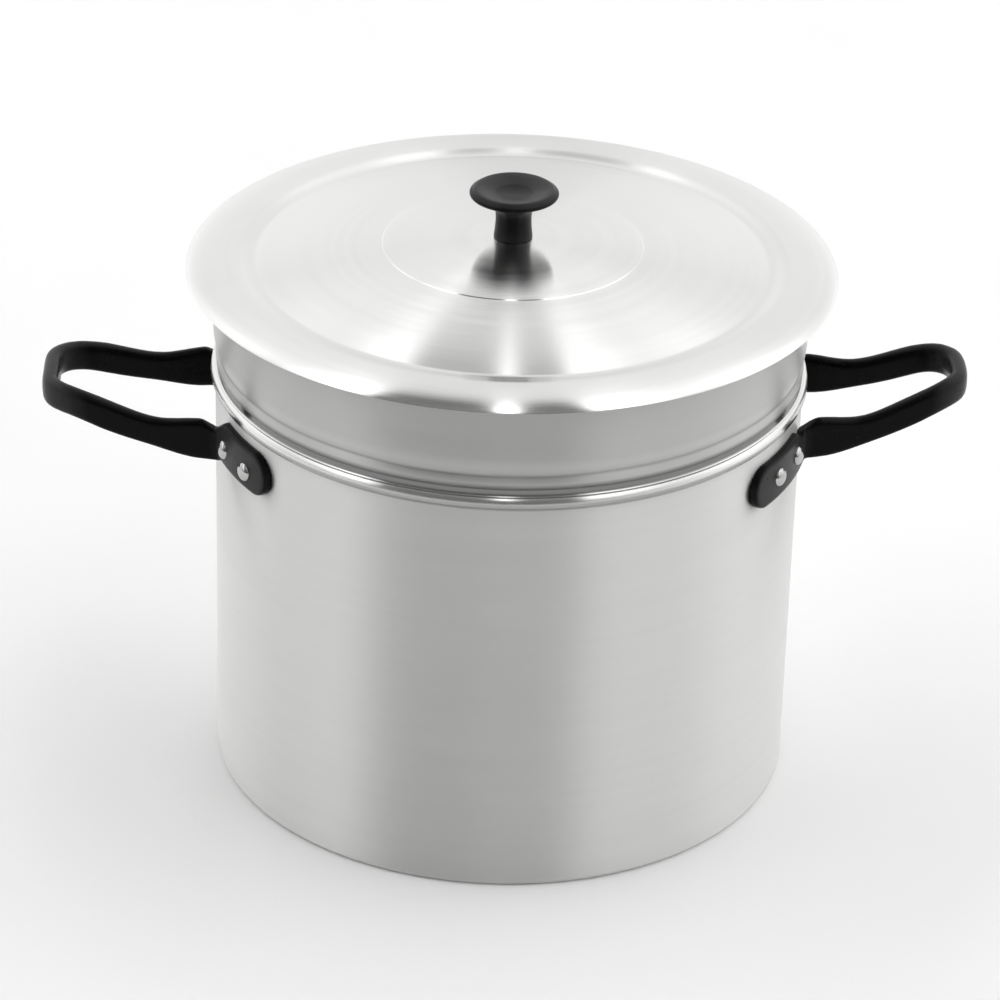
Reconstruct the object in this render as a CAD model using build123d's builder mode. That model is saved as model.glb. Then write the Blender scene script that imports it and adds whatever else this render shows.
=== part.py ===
from build123d import *
import math
import os

os.makedirs("parts", exist_ok=True)

# A spun aluminium stockpot with a lift-out perforated insert and a loose lid.
# Millimetres. The origin is the centre of the flat base, +Z is up, and the two
# side handles lie on +X and -X. The front of the pot is -Y.

# Pot: a straight wall with a rolled bead round the rim
pot_radius = 150.0
pot_wall = 2.0
pot_floor = 3.0
pot_corner_radius = 3.5
bead_bottom_z = 215.7
bead_widest_z = 217.8
bead_top_z = 226.2
bead_projection = 2.4
bead_start_rise = 0.7
bead_start_share = 0.7
bead_lean_share = 0.5
bead_lean_drop = 2.6
bead_lip_round = 1.0
pot_inner_radius = pot_radius - pot_wall
size_tolerance = 0.01

# Insert: a perforated basket, a flange that sits on the bead, and a tall collar
insert_sheet = 1.5
basket_radius = 144.5
basket_floor_z = 50.0
basket_corner_radius = 8.0
seat_gap = 0.3
seat_corner_radius = 1.8
flange_radius = 150.3
flange_round = 4.0
crease_radius = 148.9
crease_z = 233.6
collar_radius = 151.0
collar_bottom_z = 243.7
collar_top_z = 278.4
collar_step_radius = 25.0
flange_bottom_z = bead_top_z + seat_gap
drain_hole_radius = 2.75
drill_length = 6.0
floor_ring_pitch = 20.0
floor_ring_count = 6
holes_per_ring_step = 6
wall_row_pitch = 20.0
wall_row_count = 3
wall_holes_per_row = 30

# Lid: a low dome, a shallow channel, and a wide brim that rests on the collar
lid_sheet = 1.5
lid_radius = 164.5
lid_edge_z = 275.4
lid_roll_radius = 161.0
lid_roll_z = 278.2
lid_brim_curve = 42.0
lid_channel_radius = 130.7
lid_channel_z = 277.3
lid_dome_radius = 66.4
lid_dome_z = 287.4
lid_boss_radius = 13.0
lid_top_z = 291.9
lid_under_z = lid_top_z - lid_sheet

# Knob: a dished mushroom cap on a short neck, with a bush moulded in
cap_radius = 22.5
cap_edge_z = 315.7
cap_under_radius = 15.5
cap_under_z = 310.5
cap_rim_radius = 19.0
cap_rim_z = 318.2
cap_dish_depth = 3.4
neck_radius = 8.6
neck_height = 11.0
knob_foot_radius = 9.8
knob_foot_round = 0.8
knob_foot_lean = -0.15
bush_radius = 4.5
bush_length = 14.0
screw_radius = 2.5
screw_length = 14.0
screw_head_radius = 4.75
screw_head_height = 2.6
screw_head_round = 1.2
screw_slot_width = 1.0
screw_slot_depth = 1.3
washer_radius = 8.0
washer_thickness = 1.0
screw_seat_z = lid_under_z - washer_thickness

# Handles: a moulded loop that stands out from two curved foot plates. The loop's
# centre line is given by stations: distance out from the axis, half the span between
# the arms, and thickness seen from above.
foot_thickness = 4.4
foot_height = 23.5
foot_start_angle = 13.5
foot_end_round = 10.8
foot_edge_round = 1.8
foot_shoulder_run = 17.0
foot_shoulder_drop = 11.0
foot_blank_reach = 30.0
foot_face_radius = pot_radius + foot_thickness
root_x = 144.0
root_slope = 0.16
root_height = 22.0
root_shoulder_drop = 8.0
root_shoulder_run = 12.0
loop_stations = (
    (154.0, 38.9, 7.0),
    (178.0, 34.7, 7.6),
    (200.0, 30.3, 8.2),
    (218.0, 25.2, 8.8),
    (230.0, 15.6, 8.9),
    (231.8, 0.0, 8.9),
)
bow_station = 3
loop_edge_round = 2.6
arm_inset = 3.1
arm_profile = ((178.0, 0.10), (200.0, 0.50), (218.0, 0.88), (245.0, 1.0))

# The two handles aren't quite alike: where each foot ends and how high it is centred,
# how high the loop's root is centred, how far its bow climbs above that, how much wider
# its arms stand, and how much further it reaches
foot_end_angle = {"left": 36.7, "right": 38.4}
foot_level = {"left": 199.2, "right": 196.6}
handle_level = {"left": 196.5, "right": 198.4}
handle_rise = {"left": 13.8, "right": 18.6}
handle_spread = {"left": 2.3, "right": -2.3}
handle_reach = {"left": 1.6, "right": -1.6}

# Rivets: two through each foot, closed over a flat head inside the pot
rivet_angles = {"arm": 20.7, "tip": 30.2}
rivet_z = 197.0
rivet_shank_radius = 2.5
rivet_head_radius = 4.8
rivet_head_height = 2.8
rivet_inner_head_radius = 5.5
rivet_inner_head_height = 1.4
rivet_overlap = 0.5
rivet_drill_length = 16.0
rivet_inner_edge_slope = 0.5
rivet_outer_edge_slope = -0.15

# Direction of each handle's axis, and of its front and back foot from that axis
handle_turn = {"right": 0, "left": 180}
foot_turn = {
    ("right", "front"): -1,
    ("right", "back"): 1,
    ("left", "front"): 1,
    ("left", "back"): -1,
}


def save(part, label):
    """Name a finished piece and write its STEP file."""
    part.label = label
    export_step(part, "parts/" + label + ".step")


def drill_rivet_holes(angles):
    """Cut radial rivet holes through whatever part is being built."""
    for angle in angles:
        with Locations(Location((0, 0, rivet_z), (0, 0, angle))):
            Cylinder(
                rivet_shank_radius,
                pot_radius + rivet_drill_length,
                rotation=(0, 90, 0),
                align=(Align.CENTER, Align.CENTER, Align.MIN),
                mode=Mode.SUBTRACT,
            )


# ---------------------------------------------------------------- pot body
with BuildPart() as pot_body:
    with BuildSketch(Plane.XZ):
        with BuildLine():
            Line((0, 0), (pot_radius - pot_corner_radius, 0))
            RadiusArc(
                (pot_radius - pot_corner_radius, 0),
                (pot_radius, pot_corner_radius),
                -pot_corner_radius,
            )
            Line((pot_radius, pot_corner_radius), (pot_radius, bead_bottom_z))
            ThreePointArc(
                (pot_radius, bead_bottom_z),
                (pot_radius + bead_projection * bead_start_share, bead_bottom_z + bead_start_rise),
                (pot_radius + bead_projection, bead_widest_z),
            )
            Spline(
                (pot_radius + bead_projection, bead_widest_z),
                (pot_radius + bead_projection * bead_lean_share, bead_top_z - bead_lean_drop),
                (pot_inner_radius + bead_lip_round, bead_top_z),
                tangents=[(0, 1), (-1, 0)],
            )
            RadiusArc(
                (pot_inner_radius + bead_lip_round, bead_top_z),
                (pot_inner_radius, bead_top_z - bead_lip_round),
                -bead_lip_round,
            )
            Line(
                (pot_inner_radius, bead_top_z - bead_lip_round),
                (pot_inner_radius, pot_floor + pot_corner_radius),
            )
            RadiusArc(
                (pot_inner_radius, pot_floor + pot_corner_radius),
                (pot_inner_radius - pot_corner_radius, pot_floor),
                pot_corner_radius,
            )
            Line((pot_inner_radius - pot_corner_radius, pot_floor), (0, pot_floor))
            Line((0, pot_floor), (0, 0))
        make_face()
    revolve(axis=Axis.Z)
    drill_rivet_holes(
        handle_turn[handle] + turn * angle
        for (handle, _), turn in foot_turn.items()
        for angle in rivet_angles.values()
    )
save(pot_body.part, "pot_body")


# ---------------------------------------------------------------- insert basket
with BuildPart() as insert_basket:
    with BuildSketch(Plane.XZ):
        with BuildLine():
            Line((0, basket_floor_z), (basket_radius - basket_corner_radius, basket_floor_z))
            RadiusArc(
                (basket_radius - basket_corner_radius, basket_floor_z),
                (basket_radius, basket_floor_z + basket_corner_radius),
                -basket_corner_radius,
            )
            Line(
                (basket_radius, basket_floor_z + basket_corner_radius),
                (basket_radius, flange_bottom_z - seat_corner_radius),
            )
            RadiusArc(
                (basket_radius, flange_bottom_z - seat_corner_radius),
                (basket_radius + seat_corner_radius, flange_bottom_z),
                seat_corner_radius,
            )
            ThreePointArc(
                (basket_radius + seat_corner_radius, flange_bottom_z),
                (flange_radius, flange_bottom_z + flange_round),
                (crease_radius, crease_z),
            )
            RadiusArc(
                (crease_radius, crease_z),
                (collar_radius, collar_bottom_z),
                -collar_step_radius,
            )
            Line((collar_radius, collar_bottom_z), (collar_radius, collar_top_z))
            offset(amount=insert_sheet, side=Side.LEFT)
        make_face()
    revolve(axis=Axis.Z)

    # Drain holes in the floor: rings round a centre hole, six more in each ring
    with BuildSketch(Plane.XY.offset(basket_floor_z)):
        Circle(drain_hole_radius)
        for ring in range(1, floor_ring_count + 1):
            with PolarLocations(ring * floor_ring_pitch, ring * holes_per_ring_step):
                Circle(drain_hole_radius)
    extrude(amount=insert_sheet, mode=Mode.SUBTRACT)

    # Drain holes round the lower wall, each row half a pitch on from the last
    half_pitch = 180 / wall_holes_per_row
    for row in range(wall_row_count):
        row_z = basket_floor_z + basket_corner_radius + (row + 0.5) * wall_row_pitch
        with Locations((0, 0, row_z)):
            with PolarLocations(basket_radius, wall_holes_per_row, row % 2 * half_pitch):
                Cylinder(
                    drain_hole_radius,
                    drill_length,
                    rotation=(0, 90, 0),
                    mode=Mode.SUBTRACT,
                )
save(insert_basket.part, "insert_basket")


# ---------------------------------------------------------------- lid
with BuildPart() as lid:
    with BuildSketch(Plane.XZ):
        with BuildLine():
            Line((screw_radius, lid_top_z), (lid_boss_radius, lid_top_z))
            ThreePointArc(
                (lid_boss_radius, lid_top_z),
                (lid_dome_radius, lid_dome_z),
                (lid_channel_radius, lid_channel_z),
            )
            brim = RadiusArc(
                (lid_channel_radius, lid_channel_z),
                (lid_roll_radius, lid_roll_z),
                lid_brim_curve,
            )
            TangentArc(brim @ 1, (lid_radius, lid_edge_z), tangent=brim % 1)
            offset(amount=lid_sheet, side=Side.RIGHT)
        make_face()
    revolve(axis=Axis.Z)
save(lid.part, "lid")


# ---------------------------------------------------------------- knob and its fastener
with BuildPart() as knob:
    with BuildSketch(Plane.XZ):
        with BuildLine():
            Line((bush_radius, lid_top_z), (knob_foot_radius - knob_foot_round, lid_top_z))
            RadiusArc(
                (knob_foot_radius - knob_foot_round, lid_top_z),
                (knob_foot_radius, lid_top_z + knob_foot_round),
                -knob_foot_round,
            )
            Spline(
                (knob_foot_radius, lid_top_z + knob_foot_round),
                (neck_radius, lid_top_z + neck_height),
                (cap_under_radius, cap_under_z),
                (cap_radius, cap_edge_z),
                tangents=[(knob_foot_lean, 1), (0, 1)],
            )
            Spline(
                (cap_radius, cap_edge_z),
                (cap_rim_radius, cap_rim_z),
                (0, cap_rim_z - cap_dish_depth),
                tangents=[(0, 1), (-1, 0)],
            )
            Polyline(
                (0, cap_rim_z - cap_dish_depth),
                (0, lid_top_z + bush_length),
                (bush_radius, lid_top_z + bush_length),
                (bush_radius, lid_top_z),
            )
        make_face()
    revolve(axis=Axis.Z)
save(knob.part, "knob")

with BuildPart() as knob_bush:
    with BuildSketch(Plane.XY.offset(lid_top_z)):
        Circle(bush_radius)
        Circle(screw_radius, mode=Mode.SUBTRACT)
    extrude(amount=bush_length)
save(knob_bush.part, "knob_bush")

with BuildPart() as knob_washer:
    with BuildSketch(Plane.XY.offset(screw_seat_z)):
        Circle(washer_radius)
        Circle(screw_radius, mode=Mode.SUBTRACT)
    extrude(amount=washer_thickness)
save(knob_washer.part, "knob_washer")

with BuildPart() as knob_screw:
    with BuildSketch(Plane.XY.offset(screw_seat_z - screw_head_height)):
        Circle(screw_head_radius)
    extrude(amount=screw_head_height)
    fillet(knob_screw.edges().sort_by(Axis.Z)[0], screw_head_round)
    with BuildSketch(Plane.XY.offset(screw_seat_z)):
        Circle(screw_radius)
    extrude(amount=screw_length)
    with BuildSketch(Plane.XY.offset(screw_seat_z - screw_head_height)):
        Rectangle(screw_head_radius, screw_slot_width)
        Rectangle(screw_slot_width, screw_head_radius)
    extrude(amount=screw_slot_depth, mode=Mode.SUBTRACT)
save(knob_screw.part, "knob_screw")


# ---------------------------------------------------------------- handles
def loop_centres(name):
    """Centre line of one half of a loop, with the bow moved out and the arms moved apart."""
    centres = []
    for index, (x, y, _) in enumerate(loop_stations):
        reach = handle_reach[name] if index > bow_station else 0
        spread = handle_spread[name] if y > 0 else 0
        centres.append(Vector(x + reach, y + spread))
    return centres


def draw_half_loop(name, side):
    """Outer (side 1) or inner (side -1) plan outline of one half of the loop."""
    centres = loop_centres(name)
    centre_line = Edge.make_spline(centres, tangents=[Vector(1, -root_slope), Vector(0, -1)])
    points = []
    for centre, (_, _, thickness) in zip(centres, loop_stations):
        along = centre_line.tangent_at(centre_line.param_at_point(centre))
        outward = Vector(-along.Y, along.X)
        points.append(centre + outward * (side * thickness / 2))
    root = Vector(root_x, points[0].Y + root_slope * (points[0].X - root_x))
    Line((root_x, 0), root)
    Line(root, points[0])
    Spline(*points, tangents=[(1, -root_slope), (0, -1)])
    Line(points[-1], (root_x, 0))


def draw_arm_edge(edge_z, inset, rise):
    """Side view of one long edge of the loop: level, in to a waist, then up to the bow."""
    level = (loop_stations[0][0], edge_z)
    climb = [(x, edge_z + inset + share * rise) for x, share in arm_profile]
    Line((root_x, edge_z), level)
    Spline(level, *climb, tangents=[(1, 0), (1, 0)])


def build_loop(name):
    """The loop of a handle that stands on +X."""
    rise = handle_rise[name]
    bottom_z = handle_level[name] - root_height / 2
    top_z = handle_level[name] + root_height / 2
    end_x = arm_profile[-1][0]
    with BuildPart() as loop:
        with BuildSketch(Plane.XY.offset(bottom_z)):
            with BuildLine():
                draw_half_loop(name, 1)
            make_face()
            with BuildLine():
                draw_half_loop(name, -1)
            make_face(mode=Mode.SUBTRACT)
            mirror(about=Plane.XZ)
        extrude(amount=root_height + rise)
        with BuildSketch(Plane.XZ.offset(-root_x)):
            with BuildLine():
                draw_arm_edge(top_z, -arm_inset, rise)
                draw_arm_edge(bottom_z, arm_inset, rise)
                Line((root_x, bottom_z), (root_x, top_z))
                Line((end_x, bottom_z + arm_inset + rise), (end_x, top_z - arm_inset + rise))
            make_face()
        extrude(amount=2 * root_x, mode=Mode.INTERSECT)
        long_edges = loop.edges().filter_by(lambda edge: edge.bounding_box().size.X > 1)
        fillet(long_edges, loop_edge_round)

        # The top of each arm slopes down to the wall as a shoulder
        with BuildSketch(Plane.XZ.offset(-root_x)):
            with BuildLine():
                Polyline(
                    (root_x, top_z - root_shoulder_drop),
                    (root_x + 2 * root_shoulder_run, top_z + root_shoulder_drop),
                    (root_x, top_z + root_shoulder_drop),
                    close=True,
                )
            make_face()
        extrude(amount=2 * root_x, mode=Mode.SUBTRACT)
    return loop.part


def build_foot(name, side):
    """A foot plate bent to the pot's wall, on the +Y side (1) or the -Y side (-1) of +X."""
    half_sweep = (foot_end_angle[name] - foot_start_angle) / 2
    outwards = Vector(1, 0, 0).rotate(Axis.Z, side * (foot_start_angle + half_sweep))
    half_width = foot_face_radius * math.sin(math.radians(half_sweep))
    half_height = foot_height / 2
    front = Plane(
        origin=outwards * foot_face_radius + Vector(0, 0, foot_level[name]),
        x_dir=Vector(0, 0, side).cross(outwards),
        z_dir=outwards * side,
    )
    with BuildPart() as foot:
        with BuildSketch(front) as outline:
            with BuildLine():
                Polyline(
                    (-half_width, -half_height),
                    (half_width, -half_height),
                    (half_width, half_height),
                    (foot_shoulder_run - half_width, half_height),
                    (-half_width, half_height - foot_shoulder_drop),
                    close=True,
                )
            make_face()
            fillet(outline.vertices().group_by(Axis.X)[-1], foot_end_round)
        extrude(amount=foot_blank_reach, both=True)
        Cylinder(foot_face_radius, 2 * bead_top_z, mode=Mode.INTERSECT)
        Cylinder(pot_radius - foot_thickness, 2 * bead_top_z, mode=Mode.SUBTRACT)
        fillet([edge for edge in foot.edges() if lies_on_face(edge)], foot_edge_round)
    return foot.part


def lies_on_face(edge):
    """Whether an edge of a foot plate lies all along the plate's outer face."""
    places = (edge @ 0, edge @ 0.5, edge @ 1)
    return all(abs(Vector(p.X, p.Y).length - foot_face_radius) < size_tolerance for p in places)


for name in handle_turn:
    loop_part = build_loop(name)
    feet = [build_foot(name, side) for side in (1, -1)]
    with BuildPart() as handle:
        add(loop_part)
        add(feet)
        Cylinder(pot_radius, 2 * bead_top_z, mode=Mode.SUBTRACT)
        drill_rivet_holes(side * angle for side in (1, -1) for angle in rivet_angles.values())
    with BuildPart() as placed_handle:
        add(handle.part, rotation=(0, 0, handle_turn[name]))
    save(placed_handle.part, "handle_" + name)


# ---------------------------------------------------------------- rivets
# One rivet on +X: a blank with both heads, less the wall and foot that it clamps
with BuildPart() as clamped_stack:
    with BuildSketch(Plane.XY.offset(rivet_z - rivet_drill_length / 2)):
        Circle(foot_face_radius)
        Circle(pot_inner_radius, mode=Mode.SUBTRACT)
    extrude(amount=rivet_drill_length)
    drill_rivet_holes([0])

with BuildPart() as rivet:
    with BuildSketch(Plane.XZ):
        with BuildLine():
            inner_edge = (pot_inner_radius - rivet_overlap, rivet_z + rivet_inner_head_radius)
            outer_edge = (foot_face_radius, rivet_z + rivet_head_radius)
            Spline(
                (pot_inner_radius - rivet_inner_head_height, rivet_z),
                inner_edge,
                tangents=[(0, 1), (1, rivet_inner_edge_slope)],
            )
            Polyline(
                inner_edge,
                (pot_inner_radius + rivet_overlap, rivet_z + rivet_inner_head_radius),
                (pot_inner_radius + rivet_overlap, rivet_z + rivet_shank_radius),
                (foot_face_radius - rivet_overlap, rivet_z + rivet_shank_radius),
                (foot_face_radius - rivet_overlap, rivet_z + rivet_head_radius),
                outer_edge,
            )
            Spline(
                outer_edge,
                (foot_face_radius + rivet_head_height, rivet_z),
                tangents=[(1, rivet_outer_edge_slope), (0, -1)],
            )
            Line(
                (foot_face_radius + rivet_head_height, rivet_z),
                (pot_inner_radius - rivet_inner_head_height, rivet_z),
            )
        make_face()
    revolve(axis=Axis((0, 0, rivet_z), (1, 0, 0)))
    add(clamped_stack.part, mode=Mode.SUBTRACT)

for (handle_name, foot_name), turn in foot_turn.items():
    for place, angle in rivet_angles.items():
        with BuildPart() as placed_rivet:
            add(rivet.part, rotation=(0, 0, handle_turn[handle_name] + turn * angle))
        save(placed_rivet.part, "rivet_" + handle_name + "_" + foot_name + "_" + place)
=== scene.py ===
"""Looks of the stockpot: fine spun-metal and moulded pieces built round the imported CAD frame."""
import bmesh
import bpy
import math
from mathutils import Matrix, Vector


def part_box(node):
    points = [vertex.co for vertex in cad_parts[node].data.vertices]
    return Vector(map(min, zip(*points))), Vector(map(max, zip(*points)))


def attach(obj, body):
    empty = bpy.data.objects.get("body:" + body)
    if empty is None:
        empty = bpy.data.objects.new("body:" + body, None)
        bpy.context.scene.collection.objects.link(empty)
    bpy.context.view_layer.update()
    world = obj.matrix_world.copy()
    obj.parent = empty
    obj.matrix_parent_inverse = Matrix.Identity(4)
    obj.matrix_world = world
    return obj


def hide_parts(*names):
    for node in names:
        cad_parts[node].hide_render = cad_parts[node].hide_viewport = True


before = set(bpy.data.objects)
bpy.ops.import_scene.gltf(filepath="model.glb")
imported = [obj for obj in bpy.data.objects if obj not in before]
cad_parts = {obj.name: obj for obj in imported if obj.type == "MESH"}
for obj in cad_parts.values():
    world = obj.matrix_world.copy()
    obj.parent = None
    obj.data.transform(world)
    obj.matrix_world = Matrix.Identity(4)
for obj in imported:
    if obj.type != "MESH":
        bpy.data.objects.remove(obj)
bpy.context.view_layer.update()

MM = 0.001
SEGMENTS = 384
UP = Vector((0, 0, 1))

# A quarter circle bows away from its chord by this share of its radius.
QUARTER_BULGE = 0.293

# ---------------------------------------------------------------- sizes of the pot
pot_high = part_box("pot_body")[1]
POT_TOP = pot_high.z
BEAD_RADIUS = pot_high.x
BEAD_PROJECTION = 2.4 * MM
BEAD_HEIGHT = 10.5 * MM
BEAD_BOTTOM = POT_TOP - BEAD_HEIGHT
BEAD_WIDEST = BEAD_BOTTOM + 2.6 * MM
BEAD_LIP = 1.0 * MM
POT_RADIUS = BEAD_RADIUS - BEAD_PROJECTION
POT_WALL = 2.0 * MM
POT_FLOOR = 3.0 * MM
POT_CORNER = 3.5 * MM
POT_INNER = POT_RADIUS - POT_WALL
BEAD_CROWN = (POT_RADIUS + 0.1 * MM, BEAD_BOTTOM + 6.9 * MM)

# ---------------------------------------------------------------- sizes of the insert
insert_low, insert_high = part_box("insert_basket")
INSERT_SHEET = 1.5 * MM
COLLAR_RADIUS = insert_high.x
FLANGE_RADIUS = COLLAR_RADIUS - 0.7 * MM
CREASE_RADIUS = COLLAR_RADIUS - 2.1 * MM
BASKET_RADIUS = COLLAR_RADIUS - 6.5 * MM
BASKET_CORNER = 8.0 * MM
SEAT_CORNER = 1.8 * MM
FLANGE_BOTTOM = POT_TOP + 0.3 * MM
CREASE_HEIGHT = FLANGE_BOTTOM + 7.1 * MM
COLLAR_BOTTOM = FLANGE_BOTTOM + 17.2 * MM
DRAIN_HOLE_RADIUS = 2.75 * MM
FLOOR_RINGS = 6
FLOOR_RING_PITCH = 20.0 * MM
WALL_ROWS = 3
WALL_ROW_PITCH = 20.0 * MM
WALL_ROW_HOLES = 30

# ---------------------------------------------------------------- sizes of the lid
lid_low, lid_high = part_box("lid")
LID_SHEET = 1.5 * MM
LID_SEGMENTS = 512
LID_RADIUS = lid_high.x
LID_TOP = lid_high.z
LID_EDGE = lid_low.z + 0.8 * MM
LID_BORE = 2.5 * MM
BOSS_RADIUS = 13.0 * MM
RING = (66.4 * MM, LID_TOP - 4.5 * MM)
RING_STEP = 0.25 * MM
CHANNEL = (130.7 * MM, LID_TOP - 13.5 * MM)
CREST = (140.5 * MM, LID_TOP - 12.2 * MM)
BRIM_ROLL = (161.0 * MM, LID_TOP - 14.4 * MM)

# ---------------------------------------------------------------- sizes of the knob
knob_low, knob_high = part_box("knob")
bush_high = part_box("knob_bush")[1]
KNOB_TOP = knob_high.z
CAP_RADIUS = knob_high.x
CAP_EDGE = KNOB_TOP - 2.5 * MM
CAP_DISH = 3.4 * MM
CAP_RIM = 19.0 * MM
NECK_RADIUS = 9.2 * MM
NECK_RISE = 13.0 * MM
FOOT_RADIUS = 9.8 * MM
FOOT_ROUND = 0.8 * MM
BUSH_RADIUS = bush_high.x

# ---------------------------------------------------------------- sizes of the handles and rivets
HANDLE_FOOT = 4.4 * MM
HANDLE_WELD = 0.02 * MM
HANDLE_VOXEL = 0.7 * MM
# How far from the pot's axis each smoothing starts, the run over which it grows, and its rounds.
HANDLE_SMOOTHING = (
    (0.0, 0.1 * MM, 4),
    (POT_RADIUS + 4.5 * MM, 5 * MM, 34),
    (POT_RADIUS + 60 * MM, 16 * MM, 110),
)
RIVET_HEAD = 4.8 * MM
RIVET_HEAD_HEIGHT = 2.8 * MM
RIVET_SHANK = 2.5 * MM
RIVET_INNER_HEAD = 5.5 * MM
RIVET_INNER_HEIGHT = 1.4 * MM


# ---------------------------------------------------------------- outline helpers, (radius, height) in metres
def mm(across, up):
    """A step in an outline, given in millimetres."""
    return (across * MM, up * MM)


def arc(start, end, bulge, count=12):
    """Points on a circular arc from start to end. Bulge is the arc's height over its chord, and
    is positive when the arc bows to the left of the way from start to end."""
    start, end = Vector(start), Vector(end)
    chord = end - start
    half = chord.length / 2
    radius = (half * half + bulge * bulge) / (2 * abs(bulge))
    left = Vector((-chord.y, chord.x)).normalized() * math.copysign(1, bulge)
    centre = (start + end) / 2 + left * (abs(bulge) - radius)
    first = math.atan2(start.y - centre.y, start.x - centre.x)
    turn = math.atan2(end.y - centre.y, end.x - centre.x) - first
    if bulge > 0 and turn > 0:
        turn -= 2 * math.pi
    if bulge < 0 and turn < 0:
        turn += 2 * math.pi
    return [
        (centre.x + radius * math.cos(first + turn * i / count),
         centre.y + radius * math.sin(first + turn * i / count))
        for i in range(count + 1)
    ]


def curve(start, start_way, end, end_way, count=16):
    """Points on a smooth curve with given directions and reaches at its two ends."""
    start, end = Vector(start), Vector(end)
    points = []
    for i in range(count + 1):
        t = i / count
        place = (
            start * (1 - t) ** 3
            + (start + Vector(start_way)) * 3 * t * (1 - t) ** 2
            + (end - Vector(end_way)) * 3 * t * t * (1 - t)
            + end * t ** 3
        )
        points.append((place.x, place.y))
    return points


def upright(radius, start, end, steps):
    """Points strictly between two heights at one radius."""
    return [(radius, start + (end - start) * i / steps) for i in range(1, steps)]


def tidy(points):
    """Drop repeated points from an outline."""
    kept = []
    for point in points:
        if not kept or (Vector(point) - Vector(kept[-1])).length > 1e-7:
            kept.append(point)
    return kept


def sheet_outline(path, thickness):
    """Close an open outline into a sheet: the path, then its offset to the left, back again."""
    path = [Vector(p) for p in tidy(path)]
    back = []
    for i, point in enumerate(path):
        before = path[max(i - 1, 0)]
        after = path[min(i + 1, len(path) - 1)]
        way = (after - before).normalized()
        offset = point + Vector((-way.y, way.x)) * thickness
        back.append((0.0 if point.x < 1e-9 else offset.x, offset.y))
    return [tuple(p) for p in path] + back[::-1]


# ---------------------------------------------------------------- mesh helpers
def new_object(name, vertices, faces, sharp_angle=35):
    """A smooth-shaded mesh object whose corners sharper than the angle stay crisp."""
    mesh = bpy.data.meshes.new(name)
    mesh.from_pydata(vertices, [], faces)
    mesh.update()
    finish_mesh(mesh, sharp_angle)
    piece = bpy.data.objects.new(name, mesh)
    bpy.context.scene.collection.objects.link(piece)
    return piece


def finish_mesh(mesh, sharp_angle):
    """Turn all faces outwards and shade them smooth, apart from sharp corners."""
    work = bmesh.new()
    work.from_mesh(mesh)
    bmesh.ops.recalc_face_normals(work, faces=work.faces)
    work.to_mesh(mesh)
    work.free()
    mesh.shade_smooth()
    mesh.set_sharp_from_angle(angle=math.radians(sharp_angle))


def lathe(name, outline, segments=SEGMENTS, place=Matrix.Identity(4), sharp_angle=35):
    """Spin a closed (radius, height) outline round Z. Points on the axis become poles."""
    outline = tidy(outline)
    if (Vector(outline[0]) - Vector(outline[-1])).length < 1e-7:
        outline = outline[:-1]
    vertices = []
    rings = []
    for radius, height in outline:
        if radius < 1e-7:
            rings.append([len(vertices)] * segments)
            vertices.append(place @ Vector((0, 0, height)))
            continue
        rings.append(list(range(len(vertices), len(vertices) + segments)))
        for k in range(segments):
            angle = 2 * math.pi * k / segments
            vertices.append(place @ Vector((radius * math.cos(angle), radius * math.sin(angle), height)))
    faces = []
    for ring, after in zip(rings, rings[1:] + rings[:1]):
        for k in range(segments):
            m = (k + 1) % segments
            corners = []
            for corner in (ring[k], ring[m], after[m], after[k]):
                if corner not in corners:
                    corners.append(corner)
            if len(corners) > 2:
                faces.append(corners)
    return new_object(name, vertices, faces, sharp_angle)


def apply_modifiers(piece):
    """Replace a piece's mesh with the result of its modifiers."""
    bpy.context.view_layer.update()
    graph = bpy.context.evaluated_depsgraph_get()
    mesh = bpy.data.meshes.new_from_object(piece.evaluated_get(graph))
    piece.modifiers.clear()
    piece.data = mesh


# ---------------------------------------------------------------- material helpers
class Nodes:
    """A short way to write shader nodes."""

    def __init__(self, tree):
        self.tree = tree

    def add(self, kind, settings=None, **inputs):
        node = self.tree.nodes.new(kind)
        for key, value in (settings or {}).items():
            setattr(node, key, value)
        for key, value in inputs.items():
            self.feed(node, key.replace("_", " "), value)
        return node

    def feed(self, node, socket, value):
        target = node.inputs[int(socket)] if socket.isdigit() else node.inputs[socket]
        if isinstance(value, bpy.types.NodeSocket):
            self.tree.links.new(value, target)
        else:
            target.default_value = value

    def math(self, operation, a, b=0.0):
        node = self.add("ShaderNodeMath", {"operation": operation})
        self.feed(node, "0", a)
        self.feed(node, "1", b)
        return node.outputs[0]

    def sway(self, base, value, reach):
        """A base value that a noise round 0.5 pushes up and down."""
        return self.math("ADD", self.math("MULTIPLY", self.math("SUBTRACT", value, 0.5), reach), base)

    def times(self, color, shade):
        """One colour multiplied by another."""
        node = self.add("ShaderNodeVectorMath", {"operation": "MULTIPLY"})
        self.feed(node, "0", color)
        self.feed(node, "1", shade)
        return node.outputs[0]

    def ramp(self, value, *stops):
        node = self.tree.nodes.new("ShaderNodeValToRGB")
        elements = node.color_ramp.elements
        while len(elements) < len(stops):
            elements.new(0.5)
        for element, (position, shade) in zip(elements, stops):
            element.position = position
            element.color = (shade, shade, shade, 1) if isinstance(shade, float) else (*shade, 1)
        self.feed(node, "Fac", value)
        return node.outputs["Color"]

    def noise(self, vector, scale, detail=3.0, roughness=0.5):
        node = self.add(
            "ShaderNodeTexNoise", None, Vector=vector, Scale=scale, Detail=detail, Roughness=roughness
        )
        return node.outputs["Fac"]

    def join(self, x, y, z):
        node = self.tree.nodes.new("ShaderNodeCombineXYZ")
        for index, value in enumerate((x, y, z)):
            self.feed(node, str(index), value)
        return node.outputs[0]


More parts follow.
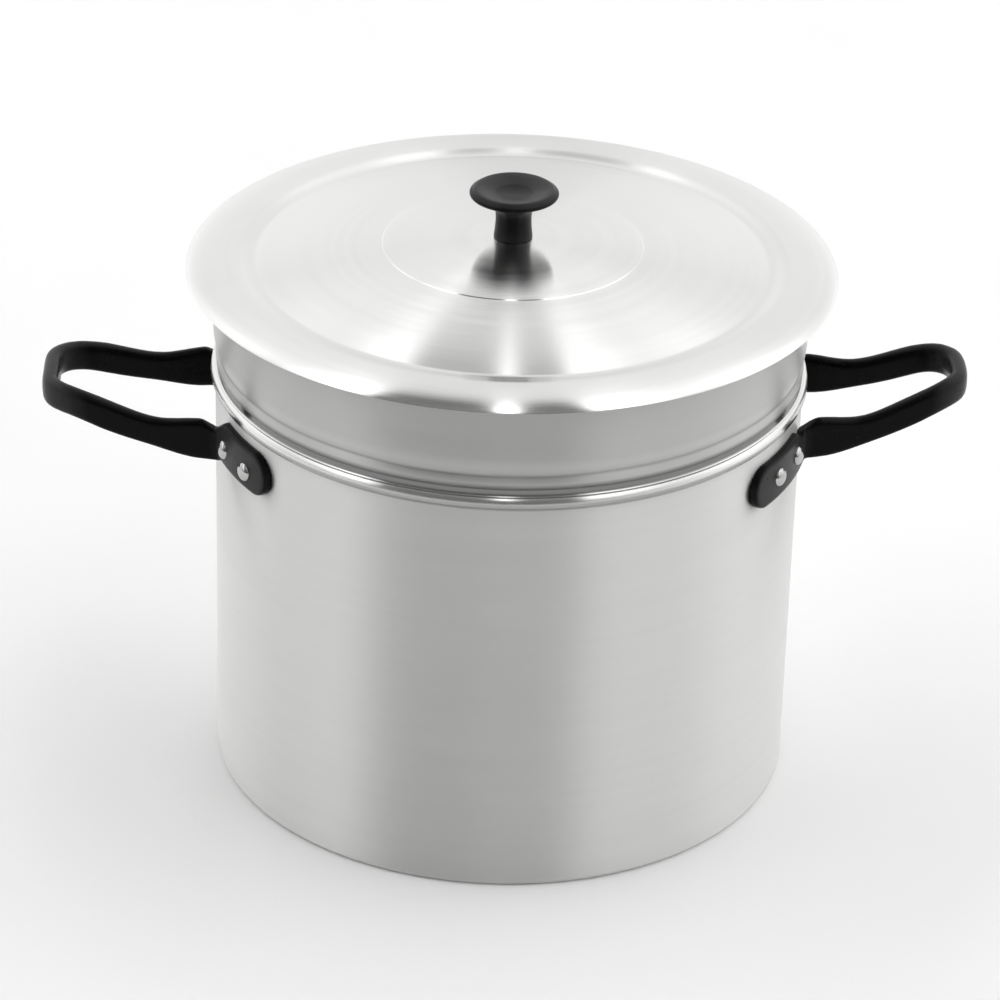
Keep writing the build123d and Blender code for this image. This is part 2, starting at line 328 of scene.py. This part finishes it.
def new_material(name):
    """An empty node material with its principled shader."""
    material = bpy.data.materials.new(name)
    material.use_nodes = True
    tree = material.node_tree
    tree.nodes.clear()
    nodes = Nodes(tree)
    shader = nodes.add("ShaderNodeBsdfPrincipled")
    output = nodes.add("ShaderNodeOutputMaterial")
    tree.links.new(shader.outputs["BSDF"], output.inputs["Surface"])
    return material, nodes, shader


def turned_coordinates(nodes, across_scale, along_scale):
    """Coordinates that run fast across the turning grooves and slowly along them, with no seam."""
    position = nodes.add("ShaderNodeTexCoord").outputs["Object"]
    split = nodes.add("ShaderNodeSeparateXYZ", None, Vector=position)
    x, y, z = split.outputs
    radius = nodes.math("SQRT", nodes.math("ADD", nodes.math("MULTIPLY", x, x), nodes.math("MULTIPLY", y, y)))
    safe = nodes.math("MAXIMUM", radius, 0.0005)
    around_x = nodes.math("MULTIPLY", nodes.math("DIVIDE", x, safe), along_scale)
    around_y = nodes.math("MULTIPLY", nodes.math("DIVIDE", y, safe), along_scale)
    across = nodes.math("MULTIPLY", nodes.math("ADD", radius, z), across_scale)
    return position, nodes.join(around_x, around_y, across), radius


def stops_from(base, *stops):
    """Stops given in millimetres beyond a base length, as (length, value) pairs in metres."""
    return tuple((base + beyond * MM, value) for beyond, value in stops)


def by_length(nodes, length, stops):
    """A value that changes with a height or radius, from (length, value) stops."""
    low, high = stops[0][0], stops[-1][0]
    share = nodes.math("DIVIDE", nodes.math("SUBTRACT", length, low), high - low)
    return nodes.ramp(share, *(((place - low) / (high - low), float(value)) for place, value in stops))


def finish_surface(nodes, shader, color, roughness, relief, bump_strength, bump_distance):
    """Feed a surface's colour, roughness and fine relief to its shader."""
    nodes.feed(shader, "Base Color", color)
    nodes.feed(shader, "Roughness", roughness)
    bump = nodes.add("ShaderNodeBump", None, Height=relief, Strength=bump_strength, Distance=bump_distance)
    nodes.feed(shader, "Normal", bump.outputs[0])


def spun_aluminium(name, color, roughness, anisotropy, painted_shade_and_highlight=None, polish=None):
    """Satin aluminium, turned on a lathe: fine rings, faint broader bands, soft smudges. Painted shade and
    highlight darken and brighten the colour in bands by height, and polish scales the roughness, both given
    as (height, value) stops."""
    material, nodes, shader = new_material(name)
    position, fine, _ = turned_coordinates(nodes, 2600.0, 1.2)
    _, broad, _ = turned_coordinates(nodes, 240.0, 0.5)
    grooves = nodes.noise(fine, 1.0, 2.0, 0.6)
    bands = nodes.noise(broad, 1.0, 2.0, 0.5)
    smudges = nodes.noise(position, 14.0, 4.0, 0.55)
    scratches = nodes.noise(position, 420.0, 2.0, 0.5)
    mixed = nodes.math("ADD", nodes.math("MULTIPLY", bands, 0.5), nodes.math("MULTIPLY", smudges, 0.5))
    shade = nodes.ramp(mixed, (0.3, tuple(c * 0.95 for c in color)), (0.7, color))
    height = nodes.add("ShaderNodeSeparateXYZ", None, Vector=position).outputs["Z"]
    # Painted shade and highlight: the colour is darkened and brightened in bands by height.
    if painted_shade_and_highlight:
        shade = nodes.times(shade, by_length(nodes, height, painted_shade_and_highlight))
    rough = nodes.sway(nodes.sway(roughness, mixed, 0.16), grooves, 0.10)
    if polish:
        rough = nodes.math("MULTIPLY", rough, by_length(nodes, height, polish))
    relief = nodes.math("ADD", grooves, nodes.math("MULTIPLY", scratches, 0.15))
    finish_surface(nodes, shader, shade, rough, relief, 0.35, 0.02 * MM)
    shader.inputs["Metallic"].default_value = 1.0
    shader.inputs["Anisotropic"].default_value = anisotropy
    shader.inputs["Anisotropic Rotation"].default_value = 0.25
    tangent = nodes.add("ShaderNodeTangent", {"direction_type": "RADIAL", "axis": "Z"})
    nodes.feed(shader, "Tangent", tangent.outputs[0])
    return material


def moulded_black(name, roughness, gloss, painted_light_by_radius):
    """Black moulded plastic: a semi-gloss skin with fine grain and dulled patches, and painted highlight and
    shade that change with the distance from the pot's axis, given as (radius, shade) stops."""
    material, nodes, shader = new_material(name)
    position, _, radius = turned_coordinates(nodes, 1.0, 1.0)
    patches = nodes.noise(position, 60.0, 4.0, 0.6)
    skin = nodes.noise(position, 900.0, 3.0, 0.6)
    # The radius stops paint highlight and shade; the patches vary the tone at random.
    shade = nodes.times(by_length(nodes, radius, painted_light_by_radius), nodes.ramp(patches, (0.35, 0.65), (0.7, 1.0)))
    rough = nodes.math("ADD", nodes.math("MULTIPLY", patches, 0.14), roughness - 0.07)
    rough = nodes.math("ADD", nodes.math("MULTIPLY", skin, 0.06), rough)
    finish_surface(nodes, shader, shade, rough, skin, 0.3, 0.03 * MM)
    shader.inputs["Specular IOR Level"].default_value = gloss
    return material


def plain_metal(name, color, roughness):
    """Small bright metal parts: fine wear in tone and roughness."""
    material, nodes, shader = new_material(name)
    position = nodes.add("ShaderNodeTexCoord").outputs["Object"]
    wear = nodes.noise(position, 300.0, 4.0, 0.6)
    shade = nodes.ramp(wear, (0.3, tuple(c * 0.82 for c in color)), (0.7, color))
    rough = nodes.math("ADD", nodes.math("MULTIPLY", wear, 0.2), roughness - 0.1)
    finish_surface(nodes, shader, shade, rough, wear, 0.25, 0.04 * MM)
    shader.inputs["Metallic"].default_value = 1.0
    return material


def give(piece, material):
    """Make this the piece's only material."""
    piece.data.materials.clear()
    piece.data.materials.append(material)


# ---------------------------------------------------------------- materials
# The height stops paint shade on the lower half of the rim bead and in the valley up to its lip, and a faint
# painted highlight on the bead's crown.
pot_metal = spun_aluminium(
    "pot_aluminium", (0.76, 0.76, 0.75), 0.50, 0.92,
    painted_shade_and_highlight=stops_from(
        BEAD_BOTTOM,
        (-0.6, 1.0), (0.0, 0.55), (3.4, 0.52), (4.5, 1.05), (7.0, 1.05), (8.0, 0.32), (10.5, 0.28),
    ),
    polish=stops_from(BEAD_BOTTOM, (-0.5, 1.0), (0.5, 0.42), (10.5, 0.42)),
)
# The base colour, darker than the pot's, is painted shade for the lid brim's shadow on the collar. The height
# stops paint shade where the flange sits in the pot's rim and in the crease above it, and a faint painted
# highlight in the curve up to the collar.
insert_metal = spun_aluminium(
    "insert_aluminium", (0.55, 0.55, 0.54), 0.44, 0.92,
    painted_shade_and_highlight=stops_from(
        POT_TOP,
        (-5.0, 1.0), (-1.0, 0.35), (0.0, 0.35), (1.4, 0.50), (3.4, 1.0),
        (6.2, 1.0), (7.4, 0.72), (9.0, 1.0), (12.0, 1.08), (16.5, 1.0),
    ),
)
lid_metal = spun_aluminium("lid_aluminium", (0.82, 0.82, 0.81), 0.18, 0.95)
# The radius stops paint highlights: lighter faces on the feet and a lighter outer end of the loop, standing
# in for reflections; the arms stay near black.
handle_black = moulded_black(
    "handle_black", 0.26, 0.08,
    stops_from(
        POT_RADIUS,
        (0.0, 0.004), (3.6, 0.006), (4.3, 0.035), (5.0, 0.012), (9.0, 0.002),
        (66.0, 0.003), (76.0, 0.030), (84.0, 0.055),
    ),
)
# The radius stops paint light: a lighter band on the cap's top as painted highlight, and painted shade on the
# stem and the cap's edge.
knob_black = moulded_black(
    "knob_black", 0.34, 0.16,
    tuple((share * CAP_RADIUS, shade) for share, shade in (
        (0.0, 0.018), (0.40, 0.006), (0.44, 0.028), (0.84, 0.036), (0.97, 0.006), (1.0, 0.004),
    )),
)
rivet_metal = plain_metal("rivet_aluminium", (0.55, 0.55, 0.54), 0.20)
brass = plain_metal("bush_brass", (0.78, 0.58, 0.26), 0.3)
zinc = plain_metal("screw_steel", (0.66, 0.66, 0.68), 0.32)


# ---------------------------------------------------------------- pot
def make_pot():
    """Straight wall, small base corner, and a rim bead that leans in towards its top."""
    outline = [(0, 0)]
    outline += [(POT_RADIUS * share, 0) for share in (0.25, 0.5, 0.75, 0.9)]
    outline += arc((POT_RADIUS - POT_CORNER, 0), (POT_RADIUS, POT_CORNER), -POT_CORNER * QUARTER_BULGE)
    outline += upright(POT_RADIUS, POT_CORNER, BEAD_BOTTOM, 12)
    outline += arc((POT_RADIUS, BEAD_BOTTOM), (BEAD_RADIUS, BEAD_WIDEST), -0.25 * MM, 8)
    outline += curve((BEAD_RADIUS, BEAD_WIDEST), mm(0, 2.0), BEAD_CROWN, mm(-1.4, 0.2), 16)
    lip = (POT_INNER + BEAD_LIP, POT_TOP)
    outline += curve(BEAD_CROWN, mm(-0.8, 0.1), lip, mm(0, 2.0), 12)
    lip_inside = (POT_INNER, POT_TOP - BEAD_LIP)
    outline += arc(lip, lip_inside, -0.29 * BEAD_LIP, 6)
    corner_inside = (POT_INNER, POT_FLOOR + POT_CORNER)
    outline += upright(POT_INNER, lip_inside[1], corner_inside[1], 12)
    outline += arc(corner_inside, (POT_INNER - POT_CORNER, POT_FLOOR), QUARTER_BULGE * POT_CORNER)
    outline += [(POT_INNER * share, POT_FLOOR) for share in (0.9, 0.75, 0.5, 0.25)]
    outline += [(0, POT_FLOOR)]
    pot = lathe("pot_body_spun", outline)
    give(pot, pot_metal)
    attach(pot, "pot")
    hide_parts("pot_body")


# ---------------------------------------------------------------- insert
def make_hole_cutter():
    """One mesh of all the drain-hole cutters, in rings in the floor and rows round the wall."""
    vertices = []
    faces = []
    sides = 20
    reach = 2 * INSERT_SHEET

    def add_cylinder(centre, way):
        turn = UP.rotation_difference(way).to_matrix()
        first = len(vertices)
        for end in (-reach, reach):
            for k in range(sides):
                angle = 2 * math.pi * k / sides
                rim = Vector((DRAIN_HOLE_RADIUS * math.cos(angle), DRAIN_HOLE_RADIUS * math.sin(angle), end))
                vertices.append(Vector(centre) + turn @ rim)
        faces.append([first + k for k in reversed(range(sides))])
        faces.append([first + sides + k for k in range(sides)])
        for k in range(sides):
            m = (k + 1) % sides
            faces.append([first + k, first + m, first + sides + m, first + sides + k])

    floor_middle = insert_low.z + INSERT_SHEET / 2
    add_cylinder((0, 0, floor_middle), UP)
    for ring in range(1, FLOOR_RINGS + 1):
        holes = 6 * ring
        for k in range(holes):
            angle = 2 * math.pi * k / holes
            radius = ring * FLOOR_RING_PITCH
            add_cylinder((radius * math.cos(angle), radius * math.sin(angle), floor_middle), UP)
    for row in range(WALL_ROWS):
        height = insert_low.z + BASKET_CORNER + (row + 0.5) * WALL_ROW_PITCH
        for k in range(WALL_ROW_HOLES):
            angle = 2 * math.pi * (k + row % 2 / 2) / WALL_ROW_HOLES
            way = Vector((math.cos(angle), math.sin(angle), 0))
            add_cylinder(way * (BASKET_RADIUS - INSERT_SHEET / 2) + UP * height, way)
    return new_object("drain_hole_cutter", vertices, faces)


def make_insert():
    """Perforated basket, rolled seat flange, and the tall collar that shows above the pot."""
    bottom = insert_low.z
    corner_start = (BASKET_RADIUS - BASKET_CORNER, bottom)
    corner_end = (BASKET_RADIUS, bottom + BASKET_CORNER)
    seat_start = (BASKET_RADIUS, FLANGE_BOTTOM - SEAT_CORNER)
    seat_end = (BASKET_RADIUS + SEAT_CORNER, FLANGE_BOTTOM)
    flange_edge = (FLANGE_RADIUS - 1.0 * MM, FLANGE_BOTTOM)
    flange_side = (FLANGE_RADIUS - 0.6 * MM, FLANGE_BOTTOM + 0.8 * MM)
    crease = (CREASE_RADIUS, CREASE_HEIGHT)
    collar_foot = (COLLAR_RADIUS, COLLAR_BOTTOM)
    path = [(0, bottom)]
    path += [(BASKET_RADIUS * share, bottom) for share in (0.3, 0.6, 0.85)]
    path += arc(corner_start, corner_end, -BASKET_CORNER * QUARTER_BULGE)
    path += upright(BASKET_RADIUS, corner_end[1], seat_start[1], 10)
    path += arc(seat_start, seat_end, SEAT_CORNER * QUARTER_BULGE, 6)
    path += [(seat_end[0] + 0.8 * MM, FLANGE_BOTTOM)]
    path += arc(flange_edge, flange_side, 0.15 * MM, 6)
    path += curve(flange_side, mm(0.5, 2.6), crease, mm(-0.9, 2.0), 16)
    path += curve(crease, mm(0.9, 2.2), collar_foot, mm(0, 4.0), 14)
    path += upright(COLLAR_RADIUS, COLLAR_BOTTOM, insert_high.z, 6)
    path += [(COLLAR_RADIUS, insert_high.z)]
    insert = lathe("insert_basket_spun", sheet_outline(path, INSERT_SHEET), sharp_angle=50)
    cutter = make_hole_cutter()
    boolean = insert.modifiers.new("drain_holes", "BOOLEAN")
    boolean.operation = "DIFFERENCE"
    boolean.solver = "MANIFOLD"
    boolean.object = cutter
    apply_modifiers(insert)
    bpy.data.objects.remove(cutter)
    finish_mesh(insert.data, 50)
    give(insert, insert_metal)
    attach(insert, "insert")
    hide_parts("insert_basket")


# ---------------------------------------------------------------- lid
def make_lid():
    """Low dome with a faint ring, a shallow channel, and a brim that rolls down at its edge."""
    ring_start = (RING[0] - 1.2 * MM, RING[1] + 0.12 * MM + RING_STEP)
    dome_end = (CHANNEL[0] - 3 * MM, CHANNEL[1] + 0.45 * MM)
    top = [(LID_BORE, LID_TOP), (BOSS_RADIUS, LID_TOP)]
    top += arc((BOSS_RADIUS, LID_TOP), ring_start, 0.55 * MM, 14)
    top += curve(ring_start, mm(0.8, -0.1), RING, mm(0.8, -0.1), 8)
    top += arc(RING, dome_end, 0.9 * MM, 20)
    top += curve(dome_end, mm(1.8, -0.34), CHANNEL, mm(0.9, 0), 10)
    top += curve(CHANNEL, mm(3.2, 0), CREST, mm(3.2, 0), 20)
    top += curve(CREST, mm(4.0, 0), BRIM_ROLL, mm(6.5, -2.0), 28)
    top += curve(BRIM_ROLL, mm(1.6, -0.6), (LID_RADIUS, LID_EDGE), mm(0.7, -1.1), 10)
    lid = lathe("lid_spun", sheet_outline(top, -LID_SHEET), segments=LID_SEGMENTS, sharp_angle=50)
    give(lid, lid_metal)
    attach(lid, "lid")
    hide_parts("lid")


# ---------------------------------------------------------------- knob
def make_knob():
    """Mushroom knob: rounded foot, waisted neck, thin-edged cap with a dished top."""
    base = knob_low.z
    foot_top = (FOOT_RADIUS, base + FOOT_ROUND)
    neck = (NECK_RADIUS, base + NECK_RISE)
    under_edge = (CAP_RADIUS - 1.2 * MM, CAP_EDGE - 1.5 * MM)
    over_edge = (CAP_RADIUS - 1.1 * MM, CAP_EDGE + 1.2 * MM)
    rim = (CAP_RIM, KNOB_TOP)
    outline = [(BUSH_RADIUS, base)]
    outline += arc((FOOT_RADIUS - FOOT_ROUND, base), foot_top, -QUARTER_BULGE * FOOT_ROUND, 6)
    outline += curve(foot_top, mm(-0.6, 4.0), neck, mm(0.35, 3.0), 14)
    outline += curve(neck, mm(0.6, 4.6), under_edge, mm(7.5, 1.4), 20)
    outline += arc(under_edge, over_edge, -1.15 * MM, 10)
    outline += curve(over_edge, mm(-1.0, 0.9), rim, mm(-0.9, 0), 8)
    outline += curve(rim, mm(-4.0, 0), (0, KNOB_TOP - CAP_DISH), mm(-9.0, 0), 22)
    outline += [(0, bush_high.z), (BUSH_RADIUS, bush_high.z)]
    knob = lathe("knob_moulded", outline, segments=160, sharp_angle=60)
    give(knob, knob_black)
    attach(knob, "lid")
    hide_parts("knob")


# ---------------------------------------------------------------- handles
def soften(piece, start, run, rounds):
    """Smooth a piece, fully only where it is farther from the pot's axis than start plus run."""
    group = piece.vertex_groups.new(name="far")
    for vertex in piece.data.vertices:
        reach = (math.hypot(vertex.co.x, vertex.co.y) - start) / run
        group.add([vertex.index], min(max(reach, 0.0), 1.0), "REPLACE")
    smooth = piece.modifiers.new("soften", "SMOOTH")
    smooth.factor = 0.5
    smooth.iterations = rounds
    smooth.vertex_group = group.name
    apply_modifiers(piece)
    piece.vertex_groups.clear()


def make_handle(side):
    """The moulded handle, with its edges and the root of its loop softened as in a mould."""
    node = "handle_" + side
    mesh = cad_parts[node].data.copy()
    handle = bpy.data.objects.new(node + "_moulded", mesh)
    bpy.context.scene.collection.objects.link(handle)
    weld = handle.modifiers.new("weld", "WELD")
    weld.merge_threshold = HANDLE_WELD
    remesh = handle.modifiers.new("skin", "REMESH")
    remesh.mode = "VOXEL"
    remesh.voxel_size = HANDLE_VOXEL
    apply_modifiers(handle)
    for start, run, rounds in HANDLE_SMOOTHING:
        soften(handle, start, run, rounds)
    finish_mesh(handle.data, 80)
    give(handle, handle_black)
    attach(handle, "pot")
    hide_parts(node)


# ---------------------------------------------------------------- rivets
def make_rivet(node):
    """A domed rivet on its own radial axis, found from the node's box."""
    low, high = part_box(node)
    middle = (low + high) / 2
    axis = Vector((middle.x, middle.y, 0)).normalized()
    turn = UP.rotation_difference(axis).to_matrix().to_4x4()
    place = Matrix.Translation((0, 0, middle.z)) @ turn
    inside = (0, POT_INNER - RIVET_INNER_HEIGHT)
    wall = POT_INNER + 0.1 * MM
    face = POT_RADIUS + HANDLE_FOOT
    outline = [inside]
    outline += curve(inside, mm(2.6, 0), (RIVET_INNER_HEAD, POT_INNER - 0.15 * MM), mm(0.6, 0.5), 10)
    outline += [(RIVET_INNER_HEAD, wall), (RIVET_SHANK, wall)]
    outline += [(RIVET_SHANK, face - 0.25 * MM), (RIVET_HEAD, face - 0.25 * MM)]
    outline += curve(
        (RIVET_HEAD, face - 0.05 * MM), mm(-0.1, 1.5), (0, face + RIVET_HEAD_HEIGHT), mm(-2.8, 0), 14
    )
    rivet = lathe(node + "_domed", outline, segments=64, place=place, sharp_angle=50)
    give(rivet, rivet_metal)
    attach(rivet, "pot")
    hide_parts(node)


make_pot()
make_insert()
make_lid()
make_knob()
for side in ("left", "right"):
    make_handle(side)
for node in sorted(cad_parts):
    if node.startswith("rivet"):
        make_rivet(node)
give(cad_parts["knob_bush"], brass)
give(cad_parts["knob_screw"], zinc)
give(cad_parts["knob_washer"], zinc)


# ---------------------------------------------------------------- floor, light and camera
FLOOR_HALF = 12.0
FLOOR_STEPS = 8

VIEW_TARGET = Vector((-0.0029, 0.0, 0.1408))
VIEW_DISTANCE = 2.2936
VIEW_AZIMUTH = math.radians(2.2)
VIEW_ELEVATION = math.radians(28.25)
VIEW_ROLL = math.radians(1.588)
VIEW_LENS = 158.87
VIEW_SENSOR = 36.0

# The studio's brightness round the pot, high up and near the horizon. Each angle is the azimuth,
# in degrees to the right of the front, at which the spun metal mirrors that part of the studio.
STUDIO_HIGH = (
    (-180, 0.85), (-171, 0.90), (-165, 1.30), (-157, 1.0), (-120, 1.0), (-80, 1.15), (-60, 1.30),
    (-52, 1.20), (-46, 1.0), (-38, 1.3), (-34, 1.9), (-29, 1.9), (-27, 1.5), (-24, 0.12),
    (13.8, 0.12), (16.2, 1.60), (22, 1.60), (32, 1.05), (38, 1.10), (47, 1.50), (55, 1.60),
    (68, 1.15), (100, 1.0), (140, 1.0), (150, 1.30), (162, 0.85), (180, 0.85),
)
STUDIO_LOW = (
    (-180, 1.0), (-90, 1.40), (-60, 1.40), (-46, 0.85), (-36, 0.60), (-24, 0.20), (-12, 0.03),
    (6, 0.03), (20, 0.22), (34, 0.80), (50, 1.45), (90, 1.40), (180, 1.0),
)
STUDIO_PEAK = 2.5
# Brightness by the height that a direction climbs to, and the height where low gives way to high.
CEILING = ((0.0, 1.02), (0.5, 1.20), (0.75, 1.38), (1.0, 2.10))
HORIZON = ((0.10, 0.0), (0.45, 1.0))
# The strip light in the front gap: its width in the same degrees, its strength, and where it fades.
STRIP_LIGHT = ((-2.0, 0.0), (-1.2, 1.0), (1.0, 1.0), (1.8, 0.0))
STRIP_STRENGTH = 2.2
STRIP_FADE = ((0.28, 0.0), (0.42, 1.0))
# The direction that a flat lid mirrors, and how the studio evens out near it.
MIRROR_ELEVATION = math.radians(27.0)
CONTRAST = ((0.0, 0.92), (0.5, 1.0), (0.90, 1.0), (0.93, 0.50), (0.955, 0.05), (1.0, 0.02))


def make_floor():
    """A wide pale floor."""
    grid = [-FLOOR_HALF + 2 * FLOOR_HALF * i / FLOOR_STEPS for i in range(FLOOR_STEPS + 1)]
    vertices = [(x, y, 0) for y in grid for x in grid]
    row = FLOOR_STEPS + 1
    faces = [(j * row + i, j * row + i + 1, (j + 1) * row + i + 1, (j + 1) * row + i)
             for j in range(FLOOR_STEPS) for i in range(FLOOR_STEPS)]
    floor = new_object("floor", vertices, faces)
    material, nodes, shader = new_material("floor_pale")
    position = nodes.add("ShaderNodeTexCoord").outputs["Object"]
    tone = nodes.noise(position, 3.0, 2.0, 0.5)
    nodes.feed(shader, "Base Color", nodes.ramp(tone, (0.3, 0.95), (0.7, 0.98)))
    shader.inputs["Roughness"].default_value = 0.9
    shader.inputs["Specular IOR Level"].default_value = 0.1
    give(floor, material)


def make_world():
    """A white studio: softboxes left and right, a dark gap in front with one strip light in it."""
    world = bpy.data.worlds.new("studio")
    bpy.context.scene.world = world
    world.use_nodes = True
    world.node_tree.nodes.clear()
    nodes = Nodes(world.node_tree)
    way = nodes.add("ShaderNodeTexCoord").outputs["Generated"]
    turn = nodes.add("ShaderNodeVectorRotate", {"rotation_type": "Z_AXIS"}, Vector=way, Angle=VIEW_AZIMUTH)
    x, y, z = nodes.add("ShaderNodeSeparateXYZ", None, Vector=turn.outputs[0]).outputs
    angle = nodes.math("ARCTAN2", x, nodes.math("SUBTRACT", math.cos(MIRROR_ELEVATION), y))
    share = nodes.math("ADD", nodes.math("DIVIDE", angle, 2 * math.pi), 0.5)

    def around(stops, scale):
        return nodes.ramp(share, *((0.5 + degrees / 360, level / scale) for degrees, level in stops))

    def mix(factor, a, b):
        return nodes.math("ADD", a, nodes.math("MULTIPLY", factor, nodes.math("SUBTRACT", b, a)))

    nearness = nodes.math("ADD", nodes.math("MULTIPLY", y, math.cos(MIRROR_ELEVATION)),
                          nodes.math("MULTIPLY", z, math.sin(MIRROR_ELEVATION)))
    half_nearness = nodes.math("MULTIPLY", nodes.math("ADD", nearness, 1.0), 0.5)
    strip = nodes.math("MULTIPLY", around(STRIP_LIGHT, 1.0), STRIP_STRENGTH / STUDIO_PEAK)
    strip = nodes.math("MULTIPLY", strip, nodes.ramp(half_nearness, *STRIP_FADE))
    high = nodes.math("ADD", around(STUDIO_HIGH, STUDIO_PEAK), strip)
    high = mix(nodes.ramp(nearness, *CONTRAST), 1.0 / STUDIO_PEAK, high)
    both = mix(nodes.ramp(z, *HORIZON), around(STUDIO_LOW, STUDIO_PEAK), high)
    ceiling = nodes.ramp(z, *((height, value / STUDIO_PEAK) for height, value in CEILING))
    strength = nodes.math("MULTIPLY", nodes.math("MULTIPLY", both, ceiling), STUDIO_PEAK * STUDIO_PEAK)
    background = nodes.add("ShaderNodeBackground", None, Strength=strength)
    output = nodes.add("ShaderNodeOutputWorld")
    world.node_tree.links.new(background.outputs[0], output.inputs["Surface"])


def make_camera():
    """The photographer's view: slightly above and a little turned, through a long lens."""
    forward = Vector((
        math.sin(VIEW_AZIMUTH) * math.cos(VIEW_ELEVATION),
        math.cos(VIEW_AZIMUTH) * math.cos(VIEW_ELEVATION),
        -math.sin(VIEW_ELEVATION),
    ))
    data = bpy.data.cameras.new("camera")
    data.lens = VIEW_LENS
    data.sensor_width = VIEW_SENSOR
    data.clip_end = 50.0
    camera = bpy.data.objects.new("camera", data)
    turn = forward.to_track_quat("-Z", "Y").to_matrix().to_4x4() @ Matrix.Rotation(VIEW_ROLL, 4, "Z")
    camera.matrix_world = Matrix.Translation(VIEW_TARGET - forward * VIEW_DISTANCE) @ turn
    bpy.context.scene.collection.objects.link(camera)
    bpy.context.scene.camera = camera


make_floor()
make_world()
make_camera()
bpy.context.scene.view_settings.view_transform = "Standard"
